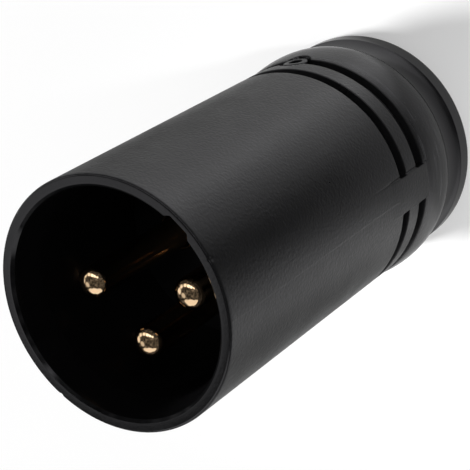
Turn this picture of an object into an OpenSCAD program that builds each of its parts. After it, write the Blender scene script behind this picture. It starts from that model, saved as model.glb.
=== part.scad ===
// Three-pole audio plug, male, with a moulded plastic shell and a screwed rear bushing.
// The plug stands on its rear face: +Z runs along its axis to the mouth, +Y is its top side,
// and the origin is the centre of the rear face. Angles are counted from +X towards +Y.
// Radii build up from the circle of the contacts outwards, and lengths from the rear face forwards,
// so that each piece makes room for what it holds.

/* [Contacts] */
// Diameter of a contact pin
pin_d = 2.4; // [2.3:0.05:2.5]
// Diameter of the circle on which the contacts stand
pin_circle_d = 8.2; // [8:0.05:8.4]
// Distance from the mouth to the tips of the pins
pin_recess = 2.75; // [2.5:0.05:4]
// Length of the rounded tip of a pin
tip_len = 0.8; // [0.6:0.05:1.2]
// Radial step from a pin to its shank in the insert
shank_step = 0.3; // [0.25:0.05:0.35]
// Radial step from the shank to the stop that seats it
stop_step = 0.3; // [0.2:0.05:0.35]
// Length of the stop
stop_len = 1.4; // [1:0.1:1.6]
// Inside diameter of a solder cup
cup_bore_d = 2.5; // [2.2:0.1:2.6]
// Thickness of a solder cup's wall
cup_wall_t = 0.45; // [0.4:0.05:0.5]
// Length of a solder cup behind the insert
cup_len = 4.4; // [3.8:0.1:4.8]
// Length of the solid and closed root of a solder cup
cup_root_len = 1.4; // [1:0.1:1.8]

/* [Insert] */
// Thickness of the flange that seats in the shell
flange_t = 2.6; // [2.2:0.1:3]
// Radial thickness of the hub outside the solder cups
hub_wall_t = 0.7; // [0.5:0.05:0.9]
// Length of the hub
hub_len = 3; // [2.5:0.1:3.5]
// Thickness of the walls between the solder cups
partition_t = 0.9; // [0.7:0.1:1.1]
// Distance by which the solder cups reach past those walls
partition_setback = 0.8; // [0.5:0.1:1.5]

/* [Chuck] */
// Radial thickness of a fin
fin_t = 1.3; // [1.1:0.05:1.5]
// Width of a fin
fin_w = 3; // [2.4:0.1:3.4]
// Thickness of the ring that carries the jaws
ring_t = 2.3; // [1.8:0.1:2.8]
// Inside diameter of the ring
ring_bore_d = 9.2; // [8.6:0.1:9.6]
// Inside diameter of the jaws, between their teeth
jaw_bore_d = 6.7; // [6.5:0.1:7]
// Width of the slots between the jaws
jaw_slot_w = 0.9; // [0.6:0.1:1.2]
// Number of rows of teeth that grip the cable
tooth_rows = 3; // [2:1:4]
// Distance between rows of teeth
tooth_pitch = 1.1; // [0.9:0.05:1.2]
// Height of the teeth
tooth_h = 0.25; // [0.15:0.05:0.3]

/* [Shell] */
// Depth of the cavity, from the mouth to the face of the insert
cavity_depth = 14.4; // [13.6:0.1:14.8]
// Thickness of the barrel's wall round the cavity
wall_t = 1.45; // [1.3:0.05:1.9]
// Radial step from the cavity to the wider bore behind it, which seats the insert
seat_step = 0.25; // [0.15:0.05:0.3]
// Radial width of the lead-in chamfer at the mouth
lead_in_w = 0.55; // [0.3:0.05:0.7]
// Length of the lead-in chamfer along the plug
lead_in_len = 0.6; // [0.3:0.05:1]
// Radius of the rounded outer edges
edge_r = 0.2; // [0.1:0.05:0.3]
// Width of the locating rib along the top of the rear bore
rib_w = 1.6; // [1.2:0.1:2]
// Height of the locating rib
rib_h = 0.7; // [0.5:0.05:0.8]

/* [Keying] */
// Angle of the polarising slot in the cavity wall
key_slot_angle = 45; // [40:1:50]
// Width of the polarising slot
key_slot_w = 1.9; // [1.5:0.1:2.2]
// Thickness of wall left behind the polarising slot
key_slot_wall = 0.45; // [0.4:0.05:0.6]
// Width of the recess in the cavity wall for the mating latch
latch_w = 4.2; // [3.5:0.1:4.6]
// Length of the latch recess along the plug
latch_len = 4; // [3:0.1:5]
// Distance from the mouth to the latch recess
latch_at = 5.2; // [4.5:0.1:6]
// Depth of the latch recess
latch_depth = 0.8; // [0.5:0.05:0.9]

/* [Grooves and rear band] */
// Length of the crowned rear band, from the rear end of the shell to the wide groove
band_len = 4.55; // [4:0.05:5.4]
// Height of the rear band's crown above the barrel
crown_rise = 0.26; // [0.1:0.02:0.4]
// Length of the rounded shoulder behind the crown
shoulder_len = 2.2; // [1.6:0.1:2.6]
// Radial drop of the rounded shoulder
shoulder_drop = 0.66; // [0.4:0.02:0.8]
// Width of the wide groove
wide_groove_w = 1.1; // [0.8:0.05:1.3]
// Width of the band between the grooves
mid_band_w = 1.75; // [1.4:0.05:2]
// Width of the narrow groove
narrow_groove_w = 1; // [0.6:0.05:1.2]
// Depth of both grooves
groove_depth = 0.7; // [0.4:0.05:0.8]
// Angle over which a bridge interrupts the grooves, on each parting line
bridge_angle = 17.5; // [10:0.5:24]
// Height by which a bridge stands proud of the barrel
bridge_rise = 0.07; // [0.03:0.01:0.1]
// Distance by which a bridge reaches past the grooves
bridge_lap = 0.3; // [0.2:0.05:0.4]
// Length over which a bridge fades into the barrel, in front of the narrow groove
bridge_fade_len = 1.6; // [1:0.1:2.4]

/* [Gate collar] */
// Outside diameter of the round collar left by the moulding gate
collar_d = 2; // [1.6:0.1:2.2]
// Diameter of the blind hole in the collar
collar_hole_d = 1.1; // [0.8:0.1:1.2]
// Depth of the blind hole in the collar
collar_hole_depth = 0.6; // [0.3:0.05:0.7]
// Width of the moat round the collar
moat_w = 0.2; // [0.15:0.05:0.3]
// Angle of the collar, just beside the top of the plug
collar_angle = 95; // [85:1:100]

/* [Bushing] */
// Length of the flared rim at the rear
rim_len = 1.4; // [1:0.1:1.8]
// Radial distance of the rim inside the barrel's surface
rim_setback = 0.12; // [0:0.02:0.4]
// Length of the neck between the rim and the shell
neck_len = 2.3; // [2:0.1:2.6]
// Radial depth of the neck below the rim
neck_depth = 0.53; // [0.4:0.01:0.7]
// Length of the threaded spigot inside the shell
spigot_len = 5.9; // [5.4:0.1:6.4]
// Thickness of the spigot's wall at its open end
spigot_wall_t = 1.1; // [0.9:0.05:1.3]
// Thickness of the rear wall around the cable entry
rear_wall_t = 1.9; // [1.5:0.1:2]
// Diameter of the cable entry
cable_entry_d = 7.2; // [6.8:0.1:7.6]
// Inside diameter at the bottom of the cone that closes the jaws
cone_end_d = 9.8; // [9.4:0.1:10]

/* [Fits] */
// Radial clearance of parts that slide or turn in the rear bore
slide_gap = 0.1; // [0.06:0.01:0.15]
// Clearance of the contacts and the keyed parts in the insert and the shell
seat_gap = 0.05; // [0.03:0.01:0.08]
// Radial gap between the hub and the fins around it
fin_gap = 0.4; // [0.3:0.05:0.5]
// Gap between the jaws and the cone before a cable is clamped
jaw_gap = 0.25; // [0.2:0.05:0.3]
// Gap between the ends of the jaws and the bushing's rear wall
jaw_end_gap = 0.6; // [0.4:0.05:0.8]
// Axial gap between the bushing's spigot and the chuck's ring
end_gap = 0.3; // [0.2:0.05:0.4]
// Axial gap between the chuck's ring and the solder cups
cup_gap = 0.8; // [0.6:0.1:1.2]

/* [Hidden] */
$fn = 96;

pin_r = pin_d / 2;
pin_circle_r = pin_circle_d / 2;
shank_r = pin_r + shank_step;
stop_r = shank_r + stop_step;
cup_r = cup_bore_d / 2 + cup_wall_t;
hub_r = pin_circle_r + cup_r + hub_wall_t;
ring_r = hub_r + fin_gap + fin_t;
rear_bore_r = ring_r + slide_gap;
cavity_r = rear_bore_r - seat_step;
barrel_r = cavity_r + wall_t;
rim_r = barrel_r - rim_setback;
spigot_r = rear_bore_r - slide_gap;
cone_mouth_r = spigot_r - spigot_wall_t;
crest_r = barrel_r + crown_rise;
groove_floor_r = barrel_r - groove_depth;

shell_rear_z = rim_len + neck_len;
spigot_end_z = shell_rear_z + spigot_len;
ring_z = spigot_end_z + end_gap;
cup_end_z = ring_z + ring_t + cup_gap;
hub_rear_z = cup_end_z + cup_len;
flange_rear_z = hub_rear_z + hub_len;
floor_z = flange_rear_z + flange_t;
plug_len = floor_z + cavity_depth;
stop_z = flange_rear_z - stop_len / 2;
cone_slope = (cone_mouth_r - cone_end_d / 2) / (spigot_end_z - rear_wall_t);

crest_z = shell_rear_z + shoulder_len;
wide_groove_z = shell_rear_z + band_len;
narrow_groove_z = wide_groove_z + wide_groove_w + mid_band_w;
collar_z = wide_groove_z + wide_groove_w / 2;

contact_angles = [180, 0, 270];
parting_angles = [0, 180];
top_angle = 90;
overcut = 1;
merge = 0.2;
hair = 0.02;

// Points on an arc round (cr, cz), from angle a0 to a1
function arc(cr, cz, rad, a0, a1, steps) =
    [for (i = [0:steps]) let (a = a0 + (a1 - a0) * i / steps) [cr + rad * cos(a), cz + rad * sin(a)]];

// Outline of the crowned rear band, from the rear end of the shell forward to the wide groove.
// Behind the crest it is a quarter of an ellipse, and in front of it a shallow parabola.
function band_points(steps) = let (front_len = wide_groove_z - crest_z)
    concat(
        [for (i = [0:steps]) let (a = 90 * i / steps)
            [crest_r - shoulder_drop * (1 - sin(a)), crest_z - shoulder_len * cos(a)]],
        [for (i = [1:steps]) let (t = i / steps)
            [crest_r - (crown_rise - hair) * t * t, crest_z + front_len * t]]);

// A ring cut all round the barrel
module ring_groove(z, w) {
    rotate_extrude()
        translate([groove_floor_r, z])
            square([groove_depth + overcut, w]);
}

// The bridge that closes both grooves on a parting line, and fades into the barrel in front
module bridge(parting_angle) {
    root_r = groove_floor_r - merge;
    top_r = barrel_r + bridge_rise;
    rear_z = wide_groove_z - bridge_lap;
    front_z = narrow_groove_z + narrow_groove_w + bridge_lap;
    rotate([0, 0, parting_angle - bridge_angle / 2])
        rotate_extrude(angle = bridge_angle)
            polygon([[root_r, rear_z], [top_r, rear_z], [top_r, front_z],
                [barrel_r - hair, front_z + bridge_fade_len], [root_r, front_z + bridge_fade_len]]);
}

// A bar that points outwards from the axis at an angle, from radius r0 to r1
module radial_bar(angle, r0, r1, w, z, len) {
    rotate([0, 0, angle])
        translate([r0, -w / 2, z])
            cube([r1 - r0, w, len]);
}

// The moulded barrel without its cavities
module shell_blank() {
    rotate_extrude()
        polygon(concat(
            [[0, shell_rear_z]],
            band_points(12),
            [[barrel_r, wide_groove_z], [barrel_r, plug_len - edge_r]],
            arc(barrel_r - edge_r, plug_len - edge_r, edge_r, 0, 90, 4),
            [[0, plug_len]]));
}

// The cavity at the mouth with its lead-in chamfer, and the wider bore behind it
module shell_bores() {
    translate([0, 0, floor_z - overcut])
        cylinder(r = cavity_r, h = cavity_depth + 2 * overcut);
    translate([0, 0, plug_len - lead_in_len])
        cylinder(r1 = cavity_r, r2 = cavity_r + lead_in_w * (1 + overcut / lead_in_len),
            h = lead_in_len + overcut);
    translate([0, 0, shell_rear_z - overcut])
        cylinder(r = rear_bore_r, h = floor_z - shell_rear_z + overcut);
}

// The slot that takes the key of the mating nose, and the recess for its latch
module keyways() {
    radial_bar(key_slot_angle, 0, barrel_r - key_slot_wall, key_slot_w, floor_z, cavity_depth + overcut);
    radial_bar(top_angle, 0, cavity_r + latch_depth, latch_w, plug_len - latch_at - latch_len, latch_len);
}

// A round bar that points outwards through the gate collar's centre, from radius r0
module gate_bar(d, r0) {
    translate([0, 0, collar_z])
        rotate([0, 90, collar_angle])
            translate([0, 0, r0])
                cylinder(d = d, h = barrel_r + overcut - r0, $fn = 48);
}

// The collar stands in a small round moat where the wide groove passes, and its top is flush
module gate_collar() {
    intersection() {
        difference() {
            gate_bar(collar_d, groove_floor_r - merge);
            gate_bar(collar_hole_d, barrel_r - collar_hole_depth);
        }
        translate([0, 0, collar_z - collar_d])
            cylinder(r = barrel_r, h = 2 * collar_d);
    }
}

module shell() {
    color("#38383a") {
        difference() {
            union() {
                difference() {
                    shell_blank();
                    ring_groove(narrow_groove_z, narrow_groove_w);
                    ring_groove(wide_groove_z, wide_groove_w);
                }
                for (a = parting_angles)
                    bridge(a);
            }
            shell_bores();
            keyways();
            gate_bar(collar_d + 2 * moat_w, groove_floor_r);
        }
        gate_collar();
        intersection() {
            radial_bar(top_angle, rear_bore_r - rib_h, barrel_r, rib_w, ring_z, floor_z - ring_z);
            translate([0, 0, ring_z])
                cylinder(r = rear_bore_r + merge, h = floor_z - ring_z);
        }
    }
}

// The carrier that holds the contacts: flange, hub, and walls between the solder cups
module insert() {
    partition_len = cup_len - partition_setback;
    color("#1b1b1d")
        difference() {
            union() {
                translate([0, 0, flange_rear_z])
                    cylinder(r = rear_bore_r - seat_gap, h = flange_t);
                translate([0, 0, hub_rear_z])
                    cylinder(r = hub_r, h = hub_len);
                intersection() {
                    for (a = [top_angle, top_angle + 135, top_angle - 135])
                        radial_bar(a, 0, hub_r, partition_t, hub_rear_z - partition_len, partition_len);
                    translate([0, 0, hub_rear_z - partition_len])
                        cylinder(r = hub_r, h = partition_len);
                }
            }
            for (a = contact_angles)
                rotate([0, 0, a])
                    translate([pin_circle_r, 0, 0]) {
                        translate([0, 0, hub_rear_z - overcut])
                            cylinder(r = shank_r + seat_gap, h = floor_z - hub_rear_z + 2 * overcut);
                        translate([0, 0, hub_rear_z - overcut])
                            cylinder(r = stop_r + seat_gap, h = stop_z + stop_len - hub_rear_z + overcut);
                    }
            radial_bar(top_angle, rear_bore_r - rib_h - seat_gap, rear_bore_r + overcut,
                rib_w + 2 * seat_gap, flange_rear_z - overcut, flange_t + 2 * overcut);
        }
}

// A turned contact: pin with a rounded tip, shank and stop in the insert, and a solder cup
// whose outer side is cut away, so that it can be filled from outside
module contact(angle) {
    tip_z = plug_len - pin_recess;
    tip_points = [for (i = [0:8]) let (a = 90 * i / 8)
        [pin_r * cos(a), tip_z - tip_len + tip_len * sin(a)]];
    open_len = cup_len - cup_root_len;
    color("#cfa45a")
        rotate([0, 0, angle])
            translate([pin_circle_r, 0, 0])
                difference() {
                    rotate_extrude()
                        polygon(concat(
                            [[0, cup_end_z], [cup_r, cup_end_z], [cup_r, hub_rear_z],
                             [shank_r, hub_rear_z], [shank_r, stop_z], [stop_r, stop_z],
                             [stop_r, stop_z + stop_len], [shank_r, stop_z + stop_len],
                             [shank_r, floor_z], [pin_r, floor_z]],
                            tip_points));
                    translate([0, 0, cup_end_z - overcut])
                        cylinder(d = cup_bore_d, h = cup_len - cup_root_len / 2 + overcut);
                    translate([merge, -cup_r, cup_end_z - overcut])
                        cube([cup_r, 2 * cup_r, open_len + overcut]);
                }
}

module contact_1() contact(contact_angles[0]);
module contact_2() contact(contact_angles[1]);
module contact_3() contact(contact_angles[2]);

// The chuck: a ring with jaws that the bushing's cone closes on the cable,
// and fins that press the insert against its seat and straddle the locating rib
module chuck() {
    jaw_end_z = rear_wall_t + jaw_end_gap;
    jaw_end_r = cone_end_d / 2 + cone_slope * jaw_end_gap - jaw_gap;
    jaw_root_r = cone_mouth_r - jaw_gap;
    jaw_bore_r = jaw_bore_d / 2;
    ring_bore_r = ring_bore_d / 2;
    throat_z = jaw_end_z + (tooth_rows + 1) * tooth_pitch;
    fin_front_z = flange_rear_z - seat_gap;
    fin_spread = asin((rib_w / 2 + slide_gap + fin_w / 2) / (ring_r - fin_t / 2));
    color("#4c4e52")
        difference() {
            union() {
                rotate_extrude()
                    polygon(concat(
                        [[jaw_bore_r, jaw_end_z], [jaw_end_r, jaw_end_z], [jaw_root_r, spigot_end_z],
                         [jaw_root_r, ring_z], [ring_r, ring_z], [ring_r, ring_z + ring_t],
                         [ring_bore_r, ring_z + ring_t], [ring_bore_r, ring_z], [jaw_bore_r, throat_z]],
                        [for (i = [tooth_rows:-1:1]) let (z = jaw_end_z + (i - 0.5) * tooth_pitch) each
                            [[jaw_bore_r, z + tooth_h], [jaw_bore_r - tooth_h, z], [jaw_bore_r, z - tooth_h]]]));
                intersection() {
                    for (a = [top_angle - fin_spread, top_angle + fin_spread, top_angle + 180])
                        radial_bar(a, ring_r - fin_t, ring_r + overcut, fin_w, ring_z + ring_t / 2,
                            fin_front_z - ring_z - ring_t / 2);
                    translate([0, 0, ring_z])
                        cylinder(r = ring_r, h = fin_front_z - ring_z);
                }
            }
            for (a = [45, 135])
                rotate([0, 0, a])
                    translate([-ring_r, -jaw_slot_w / 2, jaw_end_z - overcut])
                        cube([2 * ring_r, jaw_slot_w, ring_z - jaw_end_z]);
            radial_bar(top_angle, rear_bore_r - rib_h - slide_gap, rear_bore_r + overcut,
                rib_w + 2 * slide_gap, ring_z - overcut, ring_t + 2 * overcut);
        }
}

// The bushing: flared rim, concave neck, threaded spigot, and the cone that closes the jaws
module bushing() {
    neck_r = rim_r - neck_depth;
    neck_front_r = crest_r - shoulder_drop - slide_gap;
    neck_points = [for (i = [0:8]) let (t = i / 8)
        [neck_r + (rim_r - neck_r) * pow(1 - t, 3) + (neck_front_r - neck_r) * pow(t, 3),
         rim_len + neck_len * t]];
    color("#2c2c2e")
        difference() {
            rotate_extrude()
                polygon(concat(
                    [[0, 0]],
                    arc(rim_r - edge_r, edge_r, edge_r, -90, 0, 4),
                    neck_points,
                    [[spigot_r, shell_rear_z], [spigot_r, spigot_end_z - edge_r],
                     [spigot_r - edge_r, spigot_end_z], [0, spigot_end_z]]));
            translate([0, 0, rear_wall_t])
                cylinder(r1 = cone_end_d / 2, r2 = cone_mouth_r + cone_slope * overcut,
                    h = spigot_end_z - rear_wall_t + overcut);
            translate([0, 0, -overcut])
                cylinder(d = cable_entry_d, h = rear_wall_t + 2 * overcut);
        }
}

shell();
insert();
contact_1();
contact_2();
contact_3();
chuck();
bushing();
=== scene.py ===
import math

import bpy
import numpy as np
from mathutils import Matrix


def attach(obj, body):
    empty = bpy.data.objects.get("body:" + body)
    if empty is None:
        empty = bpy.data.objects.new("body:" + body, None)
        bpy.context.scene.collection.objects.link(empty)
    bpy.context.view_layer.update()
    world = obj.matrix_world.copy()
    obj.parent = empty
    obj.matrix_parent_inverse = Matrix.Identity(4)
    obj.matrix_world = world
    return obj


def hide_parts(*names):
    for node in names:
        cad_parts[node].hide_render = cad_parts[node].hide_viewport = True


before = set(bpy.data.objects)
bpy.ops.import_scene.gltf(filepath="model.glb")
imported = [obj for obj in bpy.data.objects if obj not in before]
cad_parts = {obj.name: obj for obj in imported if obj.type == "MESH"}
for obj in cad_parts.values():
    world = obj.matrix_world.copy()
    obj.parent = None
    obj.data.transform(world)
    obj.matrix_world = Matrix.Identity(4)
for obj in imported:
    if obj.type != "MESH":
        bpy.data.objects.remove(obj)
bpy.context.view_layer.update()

# Shell. One black injection moulding: a barrel with a keyed cavity at the mouth, two grooves that stop at a
# bridge on each parting line, and a crowned rear band. Spark-eroded mould steel gives it its fine matt grain.
MM = 0.001
BARREL_R, CAVITY_R, REAR_BORE_R = 9.5, 8.05, 8.3
PLUG_LEN, SHELL_REAR_Z, INSERT_FACE_Z = 37.4, 3.7, 23.0
WIDE_GROOVE, NARROW_GROOVE, GROOVE_DEPTH = (8.25, 9.35), (11.1, 12.1), 0.7
CREST_RISE, CREST_Z, SHOULDER_LEN, SHOULDER_DROP = 0.26, 5.9, 2.2, 0.66
MOUTH_R, LEAD_IN, FLARE_LEN, EDGE_R = 8.76, 0.22, 2.6, 0.2
PARTING_LINES, BRIDGE_HALF, BRIDGE_RISE = (0.0, 180.0), 8.75, 0.09
FLASH_ANGLES, FLASH_HEIGHT, WITNESS_DEPTH = (-1.4, 178.6), 0.016, 0.06
NICKS = ((26.0, 0.07), (232.0, 0.09))
KEY_ANGLE, KEY_HALF_W, KEY_FLOOR_R = 45.0, 0.88, 9.05
LATCH_Z, LATCH_HALF_W, LATCH_DEPTH = (28.2, 32.2), 2.1, 0.8
RIB_HALF_W, RIB_HEIGHT, RIB_Z = 0.8, 0.7, 9.9
GATE_ANGLE, GATE_Z, GATE_R, MOAT_R = 95.0, 8.8, 1.0, 1.2
THREAD_PITCH, THREAD_DEPTH, THREAD_Z = 1.25, 0.3, (3.9, 9.7)


def smooth(low, high, x):
    """0 below low, 1 above high, and the cubic 3t^2 - 2t^3 between them."""
    t = np.clip((x - low) / (high - low), 0, 1)
    return t * t * (3 - 2 * t)


def window(x, low, high, soft):
    """1 between low and high, falling smoothly to 0 over a width of soft centred on either end."""
    return smooth(low - soft / 2, low + soft / 2, x) * (1 - smooth(high - soft / 2, high + soft / 2, x))


def turned_from(angles, centre):
    """Angles counted from a centre, in degrees from -180 to 180."""
    return (angles - centre + 180) % 360 - 180


def rounded(corners, closed=True):
    """A polygon of (r, z, corner radius) with each corner replaced by a tangent arc of that radius."""
    points = np.array([c[:2] for c in corners], float)
    out = []
    for i, (r, z, radius) in enumerate(corners):
        here = points[i]
        if radius <= 0 or (not closed and i in (0, len(corners) - 1)):
            out.append(here)
            continue
        back, ahead = points[i - 1] - here, points[(i + 1) % len(points)] - here
        back, ahead = back / np.linalg.norm(back), ahead / np.linalg.norm(ahead)
        half = math.acos(np.clip(back @ ahead, -1, 1)) / 2
        centre = here + (back + ahead) / np.linalg.norm(back + ahead) * radius / math.sin(half)
        start, end = here + back * radius / math.tan(half), here + ahead * radius / math.tan(half)
        a0, a1 = (math.atan2(*(p - centre)[::-1]) for p in (start, end))
        turn = (a1 - a0 + math.pi) % (2 * math.pi) - math.pi
        for t in np.linspace(0, 1, 5):
            out.append(centre + radius * np.array([math.cos(a0 + turn * t), math.sin(a0 + turn * t)]))
    return np.array(out)


def spaced(points, z_low, z_high, step, r_low=0.0, r_high=99.0):
    """A profile with extra points on its segments, no further apart than step, within these heights and radii."""
    out = []
    for here, ahead in zip(points, np.roll(points, -1, axis=0)):
        count = max(1, math.ceil(np.linalg.norm(ahead - here) / step))
        steps = here + (ahead - here) * np.linspace(0, 1, count, endpoint=False)[:, None]
        keep = (steps[:, 1] >= z_low) & (steps[:, 1] <= z_high) & (steps[:, 0] >= r_low) & (steps[:, 0] <= r_high)
        keep[0] = True
        out.append(steps[keep])
    return np.concatenate(out)


def turned_mesh(name, points, angles, poles=False):
    """A grid of points (columns, rows, 3) in mm, closed round the axis, as a mesh with normals of its own.

    The section closes on itself, or has its first and last point on the axis, where each is one pole.

    A normal is the cross product of two slopes. Round the axis the slope is that of the parabola through three
    columns, which suits uneven spacing: (p1 - p0) h1 / h0 + (p2 - p1) h0 / h1 for gaps h0 and h1. Along the
    section it is p2 - p0, so that a flat keeps its own slope where it meets a small fillet.
    """
    columns, rows = points.shape[:2]
    gap = (np.roll(angles, -1) - angles) % 360
    gap_ahead, gap_back = gap[:, None, None], np.roll(gap, 1)[:, None, None]
    ahead, back = np.roll(points, -1, axis=0) - points, points - np.roll(points, 1, axis=0)
    slope = ahead * gap_back / gap_ahead + back * gap_ahead / gap_back
    normals = np.cross(slope, np.roll(points, -1, axis=1) - np.roll(points, 1, axis=1))
    normals /= np.maximum(np.linalg.norm(normals, axis=-1, keepdims=True), 1e-12)
    index = np.arange(columns * rows).reshape(columns, rows)
    if poles:
        index[:, 0], index[:, -1] = index[0, 0], index[0, -1]
        normals[0, 0], normals[0, -1] = normals[:, 1].mean(axis=0), normals[:, -2].mean(axis=0)
    used, index = np.unique(index, return_inverse=True)
    index = index.reshape(columns, rows)
    quads = np.stack([index, np.roll(index, -1, axis=0), np.roll(index, (-1, -1), axis=(0, 1)),
                      np.roll(index, -1, axis=1)], axis=-1)
    faces = quads[:, 1:-2].reshape(-1, 4).tolist() if poles else quads.reshape(-1, 4).tolist()
    if poles:
        faces += quads[:, 0, [0, 2, 3]].tolist() + quads[:, -2, [0, 1, 2]].tolist()
    mesh = bpy.data.meshes.new(name)
    mesh.from_pydata(points.reshape(-1, 3)[used] * MM, [], faces)
    mesh.polygons.foreach_set("use_smooth", np.ones(len(mesh.polygons), bool))
    mesh.normals_split_custom_set_from_vertices(normals.reshape(-1, 3)[used])
    piece = bpy.data.objects.new(name, mesh)
    bpy.context.scene.collection.objects.link(piece)
    return piece


def ring_surface(name, radius, height, angles):
    """A closed ring: column i stands at angles[i], and holds the points (radius[i, j], height[i, j]) of its section."""
    turn = np.radians(angles)[:, None]
    return turned_mesh(name, np.stack([radius * np.cos(turn), radius * np.sin(turn), height], axis=-1), angles)


def shell_angles():
    """Column angles: every 1.5 degrees, and finer where a bridge, the key slot, the latch, the rib or the gate is."""
    fine = [np.arange(0, 360, 1.5)]
    for line in PARTING_LINES:
        fine += [line + s * BRIDGE_HALF + np.arange(-1, 1.01, 0.2) for s in (-1, 1)]
    fine += [line + np.arange(-1, 1.01, 0.2) for line in FLASH_ANGLES]
    fine.append(KEY_ANGLE + np.arange(-8, 8.01, 0.4))
    fine.append(GATE_ANGLE + np.arange(-9, 9.01, 0.45))
    fine += [angle + np.arange(-2, 2.01, 0.3) for angle, _ in NICKS]
    for half_w in (LATCH_HALF_W, RIB_HALF_W):
        edge = math.degrees(math.asin(half_w / CAVITY_R))
        fine += [90 + s * edge + np.arange(-1.2, 1.21, 0.3) for s in (-1, 1)]
    angles = np.sort(np.round(np.concatenate(fine) % 360, 3))
    return angles[np.diff(angles, append=angles[0] + 360) > 0.12]


def band_profile(steps):
    """The rear band: a quarter of an ellipse up to the crest, then a shallow parabola to the wide groove."""
    a = np.linspace(0, np.pi / 2, steps)
    crest = BARREL_R + CREST_RISE
    behind = np.stack([crest - SHOULDER_DROP * (1 - np.sin(a)), CREST_Z - SHOULDER_LEN * np.cos(a)], axis=1)
    t = np.linspace(0, 1, steps)[1:]
    ahead = np.stack([crest - CREST_RISE * t * t, CREST_Z + (WIDE_GROOVE[0] - CREST_Z) * t], axis=1)
    return np.concatenate([behind, ahead])


def shell_surface():
    """The shell's section carried round its axis, with the features that aren't round as changes of radius."""
    floor_r = BARREL_R - GROOVE_DEPTH
    band = band_profile(9)
    corners = [(REAR_BORE_R, SHELL_REAR_Z, 0.08), (REAR_BORE_R, INSERT_FACE_Z, 0), (CAVITY_R, INSERT_FACE_Z, 0)]
    corners += [(CAVITY_R, PLUG_LEN - FLARE_LEN, 0.3), (MOUTH_R - LEAD_IN, PLUG_LEN - LEAD_IN, 0.05)]
    corners += [(MOUTH_R, PLUG_LEN, 0.04)]
    corners += [(BARREL_R, PLUG_LEN, EDGE_R)]
    for low, high in (NARROW_GROOVE, WIDE_GROOVE):
        corners += [(BARREL_R, high + 0.03, 0.1), (floor_r, high - 0.03, 0.12)]
        corners += [(floor_r, low + 0.03, 0.12), (BARREL_R, low - 0.03, 0.1)]
    corners += [(r, z, 0) for r, z in band[::-1][1:-1]]
    corners += [(*band[0], 0.1)]
    profile = rounded(corners)
    profile = spaced(profile, THREAD_Z[0] - 0.3, THREAD_Z[1] + 0.3, 0.15, r_high=floor_r - 0.1)
    profile = spaced(profile, GATE_Z - MOAT_R - 0.2, GATE_Z + MOAT_R + 0.2, 0.13, r_low=floor_r - 0.1)
    profile = spaced(profile, NARROW_GROOVE[1], NARROW_GROOVE[1] + 2, 0.3, r_low=floor_r - 0.1)
    for z in LATCH_Z:
        profile = spaced(profile, z - 0.2, z + 0.2, 0.08)
    profile = spaced(profile, PLUG_LEN - 0.8, PLUG_LEN, 0.12, r_low=BARREL_R - 0.01)
    profile = spaced(profile, NARROW_GROOVE[1] + 2, PLUG_LEN, 3.0)
    angles = shell_angles()
    phi = angles[:, None]
    z = np.broadcast_to(profile[:, 1], (len(angles), len(profile))).copy()
    r = np.broadcast_to(profile[:, 0], z.shape).copy()
    middle = (BARREL_R + CAVITY_R) / 2 - 0.2
    outer, inner = r > middle, r <= middle
    inner |= (z > PLUG_LEN - LEAD_IN - 0.1) & (r < MOUTH_R + 0.05)
    outer &= ~inner

    bridge = sum(window(turned_from(phi, a) * BARREL_R * np.pi / 180, -BRIDGE_HALF * BARREL_R * np.pi / 180,
                        BRIDGE_HALF * BARREL_R * np.pi / 180, 0.16) for a in PARTING_LINES)
    lapped = window(z, WIDE_GROOVE[0] - 0.3, NARROW_GROOVE[1] + 0.3, 0.08)
    fade = np.clip((NARROW_GROOVE[1] + 1.9 - z) / 1.6, 0, 1) * (z > NARROW_GROOVE[1] + 0.26)
    r = np.where(outer & (z > WIDE_GROOVE[0] - 0.4) & (z < NARROW_GROOVE[1] + 0.35),
                 r + (BARREL_R + BRIDGE_RISE - r) * bridge * lapped, r)
    r = np.where(outer & (z > NARROW_GROOVE[1] + 0.26) & (z < NARROW_GROOVE[1] + 2),
                 r + BRIDGE_RISE * fade * (1 - lapped) * bridge, r)

    past = [turned_from(phi, a) * BARREL_R * np.pi / 180 for a in FLASH_ANGLES]
    offset = sum(smooth(-0.07, 0.06, arc) * (1 - smooth(0.5, 3.0, arc)) for arc in past)
    r = np.where(outer & (z > NARROW_GROOVE[1] + 1) & (z < PLUG_LEN - EDGE_R), r + FLASH_HEIGHT * offset, r)

    edge = np.exp(-((turned_from(phi, BRIDGE_HALF + 0.45)) / 0.3) ** 2) * window(z, WIDE_GROOVE[0] - 0.5,
                                                                                 NARROW_GROOVE[1] + 1.9, 0.5)
    r = np.where(outer & (r > BARREL_R - 0.1), r - WITNESS_DEPTH * edge, r)
    for angle, depth in NICKS:
        nick = np.exp(-(turned_from(phi, angle) / 0.9) ** 2) * smooth(PLUG_LEN - 0.5, PLUG_LEN - 0.1, z)
        r = np.where(outer & (r > MOUTH_R + 0.3), r - depth * nick, r)

    across, along = turned_from(phi, GATE_ANGLE) * BARREL_R * np.pi / 180, z - GATE_Z
    moat = 1 - smooth(MOAT_R - 0.06, MOAT_R + 0.06, np.hypot(across, along))
    r = np.where(outer, r + (np.minimum(r, floor_r) - r) * moat, r)

    slot_x = turned_from(phi, KEY_ANGLE) * CAVITY_R * np.pi / 180
    slot = window(slot_x, -KEY_HALF_W, KEY_HALF_W, 0.45)
    slot_r = KEY_FLOOR_R / np.cos(np.radians(np.clip(turned_from(phi, KEY_ANGLE), -9, 9)))
    r = np.where(inner & (z > INSERT_FACE_Z - 0.01) & (r < CAVITY_R + 1),
                 r + np.maximum(slot_r - r, 0) * slot, r)

    latch_x = turned_from(phi, 90) * CAVITY_R * np.pi / 180
    latch = window(latch_x, -LATCH_HALF_W, LATCH_HALF_W, 0.16) * window(z, *LATCH_Z, 0.12)
    r = np.where(inner & (z < PLUG_LEN - FLARE_LEN), r + LATCH_DEPTH * latch, r)

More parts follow.
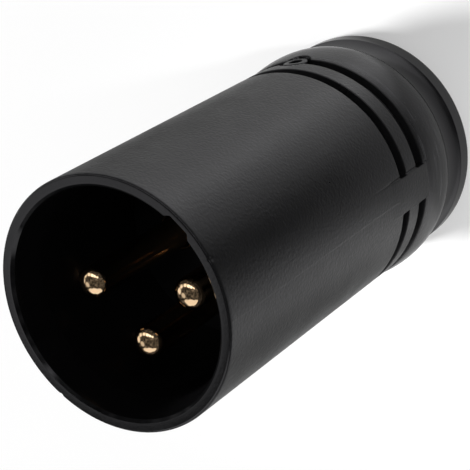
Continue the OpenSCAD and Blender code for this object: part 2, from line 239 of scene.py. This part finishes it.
    rib = window(latch_x, -RIB_HALF_W, RIB_HALF_W, 0.14) * (z > RIB_Z) * (z < INSERT_FACE_Z + 0.01)
    r = np.where(inner & (r > CAVITY_R + 0.1), r - RIB_HEIGHT * rib, r)

    turns = (z / THREAD_PITCH - phi / 360) % 1
    thread = window(turns, 0.2, 0.8, 0.24) * smooth(THREAD_Z[0], THREAD_Z[0] + 0.3, z)
    thread *= 1 - smooth(THREAD_Z[1] - 0.3, THREAD_Z[1], z)
    r = np.where(inner & (z < RIB_Z), r + THREAD_DEPTH * thread, r)
    return ring_surface("shell_moulding", r[:, ::-1], z[:, ::-1], angles)


def group(name, inputs, outputs):
    """A shader node group with named sockets, given as (name, socket type, default value)."""
    tree = bpy.data.node_groups.new(name, "ShaderNodeTree")
    for label, kind, default in inputs:
        socket = tree.interface.new_socket(label, in_out="INPUT", socket_type=kind)
        if default is not None:
            socket.default_value = default
    for label, kind in outputs:
        tree.interface.new_socket(label, in_out="OUTPUT", socket_type=kind)
    return tree, tree.nodes.new("NodeGroupInput"), tree.nodes.new("NodeGroupOutput")


def math_node(tree, operation, first, second=None, third=None):
    """A Math node whose inputs are numbers or other nodes' outputs. Returns its output."""
    node = tree.nodes.new("ShaderNodeMath")
    node.operation = operation
    for socket, value in zip(node.inputs, (first, second, third)):
        if isinstance(value, bpy.types.NodeSocket):
            tree.links.new(value, socket)
        elif value is not None:
            socket.default_value = value
    return node.outputs[0]


def noise(tree, place, scale, detail=2.0, roughness=0.5):
    """Noise in object space, with its scale in features per metre. Returns its value."""
    node = tree.nodes.new("ShaderNodeTexNoise")
    node.inputs["Detail"].default_value = detail
    node.inputs["Roughness"].default_value = roughness
    for name, value in (("Vector", place), ("Scale", scale)):
        if isinstance(value, bpy.types.NodeSocket):
            tree.links.new(value, node.inputs[name])
        else:
            node.inputs[name].default_value = value
    return node.outputs[0]


def split(tree, vector):
    """The three parts of a vector."""
    node = tree.nodes.new("ShaderNodeSeparateXYZ")
    tree.links.new(vector, node.inputs[0])
    return node.outputs


def moulded_finish():
    """Spark-eroded grain, slow unevenness of gloss, and rubbed patches: a height, a roughness and a shade.

    Within the core radius, below one height and above another the mould was polished. Below, faint streaks run
    round the axis.
    """
    tree, inside, out = group("moulded_finish",
                              [("Grain per metre", "NodeSocketFloat", 9000.0), ("Roughness", "NodeSocketFloat", 0.4),
                               ("Unevenness", "NodeSocketFloat", 0.1), ("Rubbed", "NodeSocketFloat", 0.1),
                               ("Core radius", "NodeSocketFloat", 0.0), ("Smooth below", "NodeSocketFloat", 0.0),
                               ("Smooth above", "NodeSocketFloat", 1.0)],
                              [("Height", "NodeSocketFloat"), ("Roughness", "NodeSocketFloat"),
                               ("Shade", "NodeSocketFloat"), ("Streaks", "NodeSocketFloat")])
    place = tree.nodes.new("ShaderNodeTexCoord").outputs["Object"]
    grain = noise(tree, place, inside.outputs["Grain per metre"], 1.5, 0.5)
    cloud = noise(tree, place, 420.0, 3.0)
    patches = noise(tree, place, 150.0, 5.0, 0.62)
    rubbed = math_node(tree, "MULTIPLY", math_node(tree, "SMOOTH_MAX", math_node(tree, "SUBTRACT", patches, 0.55),
                                                   0.0, 0.05), 4.0)
    rubbed = math_node(tree, "MULTIPLY", rubbed, inside.outputs["Rubbed"])
    uneven = math_node(tree, "MULTIPLY", math_node(tree, "SUBTRACT", cloud, 0.5), inside.outputs["Unevenness"])
    speck = math_node(tree, "MULTIPLY", math_node(tree, "SUBTRACT", grain, 0.5), 0.12)
    rough = math_node(tree, "ADD", inside.outputs["Roughness"], math_node(tree, "ADD", uneven, speck))
    rough = math_node(tree, "SUBTRACT", rough, rubbed)

    x, y, z = split(tree, place)
    radius = math_node(tree, "SQRT", math_node(tree, "ADD", math_node(tree, "MULTIPLY", x, x),
                                               math_node(tree, "MULTIPLY", y, y)))
    core = math_node(tree, "LESS_THAN", radius, inside.outputs["Core radius"])
    rear = math_node(tree, "LESS_THAN", z, inside.outputs["Smooth below"])
    face = math_node(tree, "GREATER_THAN", z, inside.outputs["Smooth above"])
    polished = math_node(tree, "MAXIMUM", core, math_node(tree, "MULTIPLY", rear, 0.5))
    polished = math_node(tree, "MAXIMUM", polished, math_node(tree, "MULTIPLY", face, 0.8))
    around = tree.nodes.new("ShaderNodeCombineXYZ")
    for socket, value in zip(around.inputs, (math_node(tree, "MULTIPLY", math_node(tree, "ARCTAN2", y, x), 2.2),
                                             math_node(tree, "MULTIPLY", z, 2600.0), 0.0)):
        if not isinstance(value, float):
            tree.links.new(value, socket)
    streaks = noise(tree, around.outputs[0], 1.0, 3.0, 0.6)
    streaks = math_node(tree, "MULTIPLY", math_node(tree, "SMOOTH_MAX", math_node(tree, "SUBTRACT", streaks, 0.52),
                                                    0.0, 0.04), rear)
    tree.links.new(math_node(tree, "MULTIPLY", grain, math_node(tree, "SUBTRACT", 1.0, polished)),
                   out.inputs["Height"])
    tree.links.new(math_node(tree, "MULTIPLY_ADD", polished, -0.22, rough), out.inputs["Roughness"])
    tree.links.new(math_node(tree, "ADD", 1.0, math_node(tree, "MULTIPLY", uneven, 2.0)), out.inputs["Shade"])
    tree.links.new(streaks, out.inputs["Streaks"])
    return tree


MOULDED = moulded_finish()


def plastic(name, colour, roughness, grain_per_metre, grain_depth, unevenness, rubbed, core=0.0, smooth_below=0.0,
            smooth_above=1000.0, streak_light=0.0):
    """Moulded plastic: one colour with a slow change of shade, and the mould's grain as bump and roughness."""
    material = bpy.data.materials.new(name)
    material.use_nodes = True
    tree = material.node_tree
    shader = tree.nodes["Principled BSDF"]
    finish = tree.nodes.new("ShaderNodeGroup")
    finish.node_tree = MOULDED
    for label, value in (("Grain per metre", grain_per_metre), ("Roughness", roughness),
                         ("Unevenness", unevenness), ("Rubbed", rubbed), ("Core radius", core * MM),
                         ("Smooth below", smooth_below * MM), ("Smooth above", smooth_above * MM)):
        finish.inputs[label].default_value = value
    tint = tree.nodes.new("ShaderNodeVectorMath")
    tint.operation = "SCALE"
    tint.inputs[0].default_value = colour
    tree.links.new(math_node(tree, "MULTIPLY_ADD", finish.outputs["Streaks"], streak_light,
                             finish.outputs["Shade"]), tint.inputs["Scale"])
    bump = tree.nodes.new("ShaderNodeBump")
    bump.inputs["Strength"].default_value = 1.0
    bump.inputs["Distance"].default_value = grain_depth
    tree.links.new(finish.outputs["Height"], bump.inputs["Height"])
    tree.links.new(tint.outputs[0], shader.inputs["Base Color"])
    tree.links.new(finish.outputs["Roughness"], shader.inputs["Roughness"])
    tree.links.new(bump.outputs["Normal"], shader.inputs["Normal"])
    facing = tree.nodes.new("ShaderNodeLayerWeight").outputs["Facing"]
    shaded = tree.nodes.new("ShaderNodeMapRange")
    shaded.interpolation_type = "SMOOTHSTEP"
    for label, value in (("From Min", 0.35), ("From Max", 0.84), ("To Min", 1.5), ("To Max", 1.12)):
        shaded.inputs[label].default_value = value
    tree.links.new(facing, shaded.inputs["Value"])
    tree.links.new(shaded.outputs[0], shader.inputs["IOR"])
    shader.inputs["Specular Tint"].default_value = (0.965, 0.955, 1.0, 1.0)
    return material


shell = shell_surface()
shell.data.materials.append(plastic("shell_plastic", (0.0045, 0.0045, 0.0048), 0.34, 4300.0, 0.00002, 0.12, 0.1,
                                    core=BARREL_R - GROOVE_DEPTH + 0.12, smooth_below=7.9, smooth_above=PLUG_LEN - 0.03,
                                    streak_light=35.0))
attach(shell, "plug_body")
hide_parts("shell")

# Gate collar. The round collar where the melt entered the mould, part of the same moulding as the shell.
# It stands in its moat flush with the barrel, with a small blind hole in its middle.
GATE_HOLE_R, GATE_HOLE_DEPTH = 0.55, 0.6


def gate_collar_surface():
    """A section of (distance from the collar's axis, height along it) carried round that axis, bent to the barrel."""
    root, hole_floor = BARREL_R - GROOVE_DEPTH - 0.15, BARREL_R - GATE_HOLE_DEPTH
    section = rounded([(0, hole_floor, 0), (GATE_HOLE_R, hole_floor, 0.08), (GATE_HOLE_R, BARREL_R, 0.06),
                       (GATE_R, BARREL_R, 0.1), (GATE_R, root, 0), (0, root, 0)], closed=False)
    turns = np.arange(0, 360, 7.5)
    turn = np.radians(turns)[:, None]
    across, along = section[:, 0] * np.cos(turn), section[:, 0] * np.sin(turn)
    radius = np.broadcast_to(section[:, 1], across.shape)
    angle = np.radians(GATE_ANGLE) + across / BARREL_R
    points = np.stack([radius * np.cos(angle), radius * np.sin(angle), GATE_Z + along], axis=-1)
    return turned_mesh("gate_collar", points[:, ::-1], turns, poles=True)


gate_collar = gate_collar_surface()
gate_collar.data.materials.append(shell.data.materials[0])
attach(gate_collar, "plug_body")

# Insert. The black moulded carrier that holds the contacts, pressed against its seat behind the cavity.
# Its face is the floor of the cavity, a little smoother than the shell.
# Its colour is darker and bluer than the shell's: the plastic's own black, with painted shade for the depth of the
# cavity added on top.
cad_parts["insert"].data.materials.clear()
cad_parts["insert"].data.materials.append(
    plastic("insert_plastic", (0.0027, 0.0033, 0.0039), 0.5, 6000.0, 0.000005, 0.08, 0.0))

# Contacts. Turned brass, gold plated: a pin with a rounded tip, a shank with a stop that seats it in the
# insert, and a solder cup behind, open on its outer side. Fine turning marks show through the plating.
PIN_R, PIN_CIRCLE_R, PIN_TIP_Z, TIP_LEN = 1.2, 4.1, 34.65, 0.8
SHANK_R, STOP_R, STOP_Z, CUP_R, CUP_BORE_R, CUP_Z, HUB_Z, OPEN_LEN = 1.5, 1.8, (19.7, 21.1), 1.7, 1.25, 13.0, 17.4, 3.0
CONTACTS = {"contact_1": 180, "contact_2": 0, "contact_3": 270}


def contact_surface(name, angle):
    """A turned section carried round the pin's axis. Over the open side of the cup its rows are drawn up, as cut."""
    tip = np.linspace(0, np.pi / 2, 17)[:-1]
    dome = [(PIN_R * np.cos(t), PIN_TIP_Z - TIP_LEN * (1 - np.sin(t)), 0) for t in tip]
    section = rounded([(0, CUP_Z + 3.7, 0), (CUP_BORE_R, CUP_Z + 3.7, 0.1), (CUP_BORE_R, CUP_Z, 0.08),
                       (CUP_R, CUP_Z, 0.08), (CUP_R, HUB_Z, 0.06), (SHANK_R, HUB_Z, 0), (SHANK_R, STOP_Z[0], 0),
                       (STOP_R, STOP_Z[0], 0.05), (STOP_R, STOP_Z[1], 0.05), (SHANK_R, STOP_Z[1], 0),
                       (SHANK_R, INSERT_FACE_Z, 0.03), (PIN_R, INSERT_FACE_Z, 0)] + dome + [(0, PIN_TIP_Z, 0)],
                      closed=False)
    turn = np.arange(0, 360, 360 / 96)
    fine = np.concatenate([s + np.arange(-3, 3.1, 0.6) for s in (83, 277)])
    turn = np.unique(np.round(np.concatenate([turn, fine]) % 360, 2))
    radius = np.broadcast_to(section[:, 0], (len(turn), len(section))).copy()
    height = np.broadcast_to(section[:, 1], radius.shape).copy()
    opened = 1 - smooth(82, 84, np.abs(turned_from(turn, 0)))[:, None]
    cup_top = CUP_Z + 3.7
    lowered = np.clip((cup_top - height) / (cup_top - CUP_Z), 0, 1)
    height = height + opened * lowered * OPEN_LEN * (radius > CUP_BORE_R - 0.2) * (height < HUB_Z - 0.3)
    x, y = radius * np.cos(np.radians(turn))[:, None], radius * np.sin(np.radians(turn))[:, None]
    a = math.radians(angle)
    points = np.stack([(PIN_CIRCLE_R + x) * math.cos(a) - y * math.sin(a),
                       (PIN_CIRCLE_R + x) * math.sin(a) + y * math.cos(a), height], axis=-1)
    return turned_mesh(name, points, turn, poles=True)


def gold_plate():
    """Gold over turned brass: fine rings along the pin, and a faint change of colour and polish."""
    material = bpy.data.materials.new("gold_plate")
    material.use_nodes = True
    tree = material.node_tree
    shader = tree.nodes["Principled BSDF"]
    place = tree.nodes.new("ShaderNodeTexCoord").outputs["Object"]
    rings = tree.nodes.new("ShaderNodeTexWave")
    rings.wave_type, rings.bands_direction = "BANDS", "Z"
    rings.inputs["Scale"].default_value = 2600.0
    rings.inputs["Distortion"].default_value = 0.6
    tree.links.new(place, rings.inputs["Vector"])
    cloud = noise(tree, place, 900.0, 3.0)
    rough = math_node(tree, "MULTIPLY_ADD", cloud, 0.06, 0.05)
    tone = tree.nodes.new("ShaderNodeMix")
    tone.data_type = "RGBA"
    tone.inputs["A"].default_value = (0.84, 0.575, 0.335, 1)
    tone.inputs["B"].default_value = (0.92, 0.665, 0.42, 1)
    tree.links.new(cloud, tone.inputs["Factor"])
    bump = tree.nodes.new("ShaderNodeBump")
    bump.inputs["Distance"].default_value = 0.0000015
    tree.links.new(rings.outputs["Fac"], bump.inputs["Height"])
    tree.links.new(tone.outputs["Result"], shader.inputs["Base Color"])
    tree.links.new(rough, shader.inputs["Roughness"])
    tree.links.new(bump.outputs["Normal"], shader.inputs["Normal"])
    shader.inputs["Metallic"].default_value = 1.0
    return material


gold = gold_plate()
for node_name, angle in CONTACTS.items():
    contact = contact_surface(node_name + "_turned", angle)
    contact.data.materials.append(gold)
    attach(contact, "plug_body")
    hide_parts(node_name)

# Chuck. One dark grey moulding with four toothed jaws that grip the cable, and fins that hold the insert.
# The bushing's cone closes the jaws as it is screwed in.
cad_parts["chuck"].data.materials.clear()
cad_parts["chuck"].data.materials.append(
    plastic("chuck_plastic", (0.03, 0.03, 0.033), 0.36, 5000.0, 0.000004, 0.08, 0.05))

# Bushing. One black moulding: flared rim, concave neck, and a threaded spigot that screws into the shell.
# Its mould was polished, so it is smoother than the shell.
RIM_R, RIM_LEN, NECK_R, NECK_FRONT_R = 9.38, 1.4, 8.85, 9.0
SPIGOT_R, SPIGOT_END_Z, CONE_MOUTH_R, CONE_END_R, REAR_WALL, CABLE_R = 8.2, 9.6, 7.1, 4.9, 1.9, 3.6


def bushing_surface():
    """The bushing's section carried round its axis. The thread is a helix: ridges where z / pitch - turn is whole."""
    t = np.linspace(0, 1, 13)[1:]
    neck = np.stack([NECK_R + (RIM_R - NECK_R) * (1 - t) ** 3 + (NECK_FRONT_R - NECK_R) * t ** 3,
                     RIM_LEN + (SHELL_REAR_Z - RIM_LEN) * t], axis=1)
    corners = [(CABLE_R, 0, 0.25), (CABLE_R, REAR_WALL, 0.15), (CONE_END_R, REAR_WALL, 0.2)]
    corners += [(CONE_MOUTH_R, SPIGOT_END_Z, 0.15), (SPIGOT_R, SPIGOT_END_Z, 0.25), (SPIGOT_R, SHELL_REAR_Z, 0)]
    corners += [(r, z, 0) for r, z in neck[::-1]]
    corners += [(RIM_R, RIM_LEN, 0.12), (RIM_R, 0, EDGE_R)]
    profile = rounded(corners)[::-1]
    profile = spaced(profile, SHELL_REAR_Z, SPIGOT_END_Z, 0.12)
    angles = np.arange(0, 360, 1.5)
    z = np.broadcast_to(profile[:, 1], (len(angles), len(profile)))
    r = np.broadcast_to(profile[:, 0], z.shape)
    turns = (z / THREAD_PITCH - angles[:, None] / 360) % 1
    valley = window(turns, 0.2, 0.8, 0.24) * smooth(3.9, 4.3, z) * (1 - smooth(9.0, 9.3, z))
    r = np.where((r > 7.9) & (z > SHELL_REAR_Z + 0.02) & (z < SPIGOT_END_Z), r - 0.4 * valley, r)
    return ring_surface("bushing_moulding", r, z, angles)


bushing = bushing_surface()
bushing.data.materials.append(plastic("bushing_plastic", (0.0045, 0.0045, 0.0048), 0.17, 5000.0, 0.000002, 0.1, 0.05))
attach(bushing, "bushing_body")
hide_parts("bushing")

# Floor. A plain white sheet under the plug that carries its soft shadow. Seen by the camera and in
# reflections, it also glows a little, so that it reads as white without more light on the plug. For glossy rays
# only it carries painted shade and painted highlights, spread like fans round the plug's foot, which the plug
# mirrors and the camera doesn't see.
FLOOR_HALF = 3.0
FLOOR_GLOW = 0.2
# Painted reflection fans round the foot: painted shade where depth is above 0, a painted highlight where it is below 0,
# seen by glossy rays only.
PAINTED_REFLECTION_FANS = ((16.0, 7.0, 58.0, 0.9), (-64.0, 6.0, 24.0, 0.3), (-118.0, 10.0, 34.0, -0.2), (205.0, 10.0, 110.0, 0.7), (74.0, 4.0, 15.0, -0.35))
PAINTED_FAN_NEAR, PAINTED_FAN_FULL = 0.004, 0.028


def floor_sheet():
    """A flat square a hair below the plug's rear face."""
    mesh = bpy.data.meshes.new("floor")
    mesh.from_pydata([(x * FLOOR_HALF, y * FLOOR_HALF, -0.00002) for x, y in ((-1, -1), (1, -1), (1, 1), (-1, 1))],
                     [], [(0, 1, 2, 3)])
    sheet = bpy.data.objects.new("floor", mesh)
    bpy.context.scene.collection.objects.link(sheet)
    return sheet


def seen_directly(tree):
    """1 for camera, glossy and transmission rays, and 0 for the diffuse rays that carry light."""
    path = tree.nodes.new("ShaderNodeLightPath")
    both = math_node(tree, "MAXIMUM", path.outputs["Is Camera Ray"], path.outputs["Is Glossy Ray"])
    return math_node(tree, "MAXIMUM", both, path.outputs["Is Transmission Ray"])


def painted_reflection(tree):
    """Painted shade and painted highlights on the floor, for glossy rays only: 1, less in a fan of painted shade and
    more in a fan of painted highlight, by the angle between a point's azimuth and the fan's.

    A fan is (azimuth, half-angle of its full depth, half-angle of its edge, depth: above 0 painted shade, below 0
    painted highlight), and fades in from the foot.
    """
    place = tree.nodes.new("ShaderNodeTexCoord").outputs["Object"]
    flat, reach = tree.nodes.new("ShaderNodeVectorMath"), tree.nodes.new("ShaderNodeVectorMath")
    flat.operation, reach.operation = "NORMALIZE", "LENGTH"
    for node in (flat, reach):
        tree.links.new(place, node.inputs[0])
    light = 1.0
    for azimuth, core, edge, depth in PAINTED_REFLECTION_FANS:
        aim, fan = tree.nodes.new("ShaderNodeVectorMath"), tree.nodes.new("ShaderNodeMapRange")
        aim.operation = "DOT_PRODUCT"
        aim.inputs[1].default_value = (math.cos(math.radians(azimuth)), math.sin(math.radians(azimuth)), 0)
        tree.links.new(flat.outputs[0], aim.inputs[0])
        for label, value in (("From Min", math.radians(core)), ("From Max", math.radians(edge)), ("To Min", depth),
                             ("To Max", 0.0)):
            fan.inputs[label].default_value = value
        tree.links.new(math_node(tree, "ARCCOSINE", aim.outputs["Value"]), fan.inputs["Value"])
        light = math_node(tree, "SUBTRACT", light, fan.outputs[0])
    near = tree.nodes.new("ShaderNodeMapRange")
    near.interpolation_type = "SMOOTHSTEP"
    for label, value in (("From Min", PAINTED_FAN_NEAR), ("From Max", PAINTED_FAN_FULL)):
        near.inputs[label].default_value = value
    tree.links.new(reach.outputs["Value"], near.inputs["Value"])
    glossy = tree.nodes.new("ShaderNodeLightPath").outputs["Is Glossy Ray"]
    taken = math_node(tree, "SUBTRACT", 1.0, light)
    taken = math_node(tree, "MULTIPLY", math_node(tree, "MULTIPLY", taken, glossy), near.outputs[0])
    return math_node(tree, "SUBTRACT", 1.0, taken)


def floor_paint():
    """Diffuse white, plus a plain glow for rays that look at it. Both carry the painted shade and painted highlights
    that only glossy rays see.
    """
    material = bpy.data.materials.new("floor_white")
    material.use_nodes = True
    tree = material.node_tree
    tree.nodes.clear()
    paint, glow = tree.nodes.new("ShaderNodeBsdfDiffuse"), tree.nodes.new("ShaderNodeEmission")
    # The floor's painted shade and painted highlights, which only the plug's reflections show.
    light = painted_reflection(tree)
    white = tree.nodes.new("ShaderNodeCombineColor")
    for socket in white.inputs[:3]:
        tree.links.new(math_node(tree, "MULTIPLY", light, 0.8), socket)
    tree.links.new(white.outputs[0], paint.inputs["Color"])
    add, out = tree.nodes.new("ShaderNodeAddShader"), tree.nodes.new("ShaderNodeOutputMaterial")
    tree.links.new(math_node(tree, "MULTIPLY", math_node(tree, "MULTIPLY", seen_directly(tree), FLOOR_GLOW), light),
                   glow.inputs["Strength"])
    tree.links.new(paint.outputs[0], add.inputs[0])
    tree.links.new(glow.outputs[0], add.inputs[1])
    tree.links.new(add.outputs[0], out.inputs["Surface"])
    return material


floor = floor_sheet()
floor.data.materials.append(floor_paint())
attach(floor, "bushing_body")

# Light. One broad sun from behind the left of the plug, low enough that the plug's own soft shadow lies on the
# floor that its right side mirrors, and a dimmer light from all round. Together they light a level surface as
# brightly as its colour is written. The room is white to look at, and the plug mirrors a dim studio with windows.
ROOM_LIGHT, STUDIO_WALLS = 0.35, 0.06
SUN_AZIMUTH, SUN_ELEVATION, SUN_WIDTH, SUN_STRENGTH = 192.0, 28.0, 15.0, 4.35
SPOT_AZIMUTH, SPOT_ELEVATION, SPOT_DISTANCE, SPOT_WIDTH, SPOT_POWER = 14.0, 40.0, 0.3, 7.5, 3.8
SPOT_AIM = np.array([0.016, -0.004, 0.0])
WINDOWS = ((203.0, 48.5, 5.5, 12.4, 0.68), (241.0, 39.0, 12.0, 15.0, 0.9), (262.0, 36.0, 21.0, 25.0, 1.0),
           (287.0, 36.0, 13.0, 18.0, 0.95), (52.0, 52.0, 4.0, 9.0, 1.8), (78.0, 56.0, 5.0, 11.0, 2.4),
           (106.0, 53.0, 5.0, 12.0, 2.0), (134.0, 44.0, 5.0, 12.0, 1.3),
           (160.0, 34.0, 5.0, 12.0, 1.1), (183.0, 28.0, 8.0, 14.0, 1.0))


def towards(azimuth, elevation):
    """The unit vector that points to an azimuth, counted from +X, and an elevation."""
    a, e = math.radians(azimuth), math.radians(elevation)
    return math.cos(a) * math.cos(e), math.sin(a) * math.cos(e), math.sin(e)


def room():
    """White for camera rays, the studio for glossy ones, and an even dim light for the diffuse ones."""
    world = bpy.data.worlds.new("room")
    world.use_nodes = True
    tree = world.node_tree
    sky = tree.nodes["Background"]
    direction = tree.nodes.new("ShaderNodeTexCoord").outputs["Generated"]
    walls = noise(tree, direction, 7.0, 4.0, 0.6)
    studio = math_node(tree, "MAXIMUM", math_node(tree, "MULTIPLY_ADD", walls, 0.9, STUDIO_WALLS - 0.45), 0.01)
    for azimuth, elevation, full, none, brightness in WINDOWS:
        aim = tree.nodes.new("ShaderNodeVectorMath")
        aim.operation = "DOT_PRODUCT"
        aim.inputs[1].default_value = towards(azimuth, elevation)
        tree.links.new(direction, aim.inputs[0])
        edge = tree.nodes.new("ShaderNodeMapRange")
        edge.interpolation_type = "SMOOTHSTEP"
        for label, value in (("From Min", math.cos(math.radians(none))), ("From Max", math.cos(math.radians(full))),
                             ("To Min", 0.0), ("To Max", brightness)):
            edge.inputs[label].default_value = value
        tree.links.new(aim.outputs["Value"], edge.inputs["Value"])
        studio = math_node(tree, "MAXIMUM", edge.outputs[0], studio)
    path = tree.nodes.new("ShaderNodeLightPath")
    white = math_node(tree, "MAXIMUM", path.outputs["Is Camera Ray"], path.outputs["Is Transmission Ray"])
    mirrored = math_node(tree, "MULTIPLY", path.outputs["Is Glossy Ray"], studio)
    seen = math_node(tree, "MAXIMUM", white, mirrored)
    tree.links.new(math_node(tree, "MAXIMUM", seen, math_node(tree, "MULTIPLY", path.outputs["Is Diffuse Ray"],
                                                              ROOM_LIGHT)), sky.inputs["Strength"])
    sky.inputs["Color"].default_value = (1, 1, 1, 1)
    return world


bpy.context.scene.world = room()
lamp = bpy.data.lights.new("sun", "SUN")
lamp.energy, lamp.angle = SUN_STRENGTH, math.radians(SUN_WIDTH)
sun = bpy.data.objects.new("sun", lamp)
bpy.context.scene.collection.objects.link(sun)
sun.rotation_euler = (math.radians(90 - SUN_ELEVATION), 0, math.radians(SUN_AZIMUTH + 90))
sun.visible_glossy = False
lamp = bpy.data.lights.new("base_spot", "SPOT")
lamp.energy, lamp.spot_size, lamp.spot_blend, lamp.shadow_soft_size = SPOT_POWER, math.radians(SPOT_WIDTH), 1.0, 0.02
spot = bpy.data.objects.new("base_spot", lamp)
bpy.context.scene.collection.objects.link(spot)
spot.location = SPOT_AIM + SPOT_DISTANCE * np.array(towards(SPOT_AZIMUTH, SPOT_ELEVATION))
spot.rotation_euler = (math.radians(90 - SPOT_ELEVATION), 0, math.radians(SPOT_AZIMUTH + 90))
spot.visible_glossy = False

# Camera. It looks down at the mouth from beyond it, rolled so that the plug's axis runs up to the right.
CAMERA_PLACE = (0.06953, 0.04226, 0.12445)
CAMERA_AZIMUTH, CAMERA_ELEVATION, CAMERA_ROLL = 121.62, 51.57, 122.89
CAMERA_LENS, SENSOR = 133.8, 36.0


def camera_axes(azimuth, elevation, roll):
    """Right, up and back, from the direction that the camera stands in and its turn about its own axis."""
    a, e, t = (math.radians(x) for x in (azimuth, elevation, roll))
    back = np.array([math.sin(a) * math.cos(e), -math.cos(a) * math.cos(e), math.sin(e)])
    level = np.array([math.cos(a), math.sin(a), 0])
    up = np.cross(back, level) * math.cos(t) + level * math.sin(t)
    return np.cross(up, back), up, back


camera = bpy.data.objects.new("camera", bpy.data.cameras.new("camera"))
bpy.context.scene.collection.objects.link(camera)
right, up, back = camera_axes(CAMERA_AZIMUTH, CAMERA_ELEVATION, CAMERA_ROLL)
turn = np.eye(4)
turn[:3, 0], turn[:3, 1], turn[:3, 2], turn[:3, 3] = right, up, back, CAMERA_PLACE
camera.matrix_world = Matrix(turn)
camera.data.lens, camera.data.sensor_width = CAMERA_LENS, SENSOR
camera.data.clip_start, camera.data.clip_end = 0.005, 20
bpy.context.scene.camera = camera
bpy.context.scene.view_settings.view_transform = "Standard"
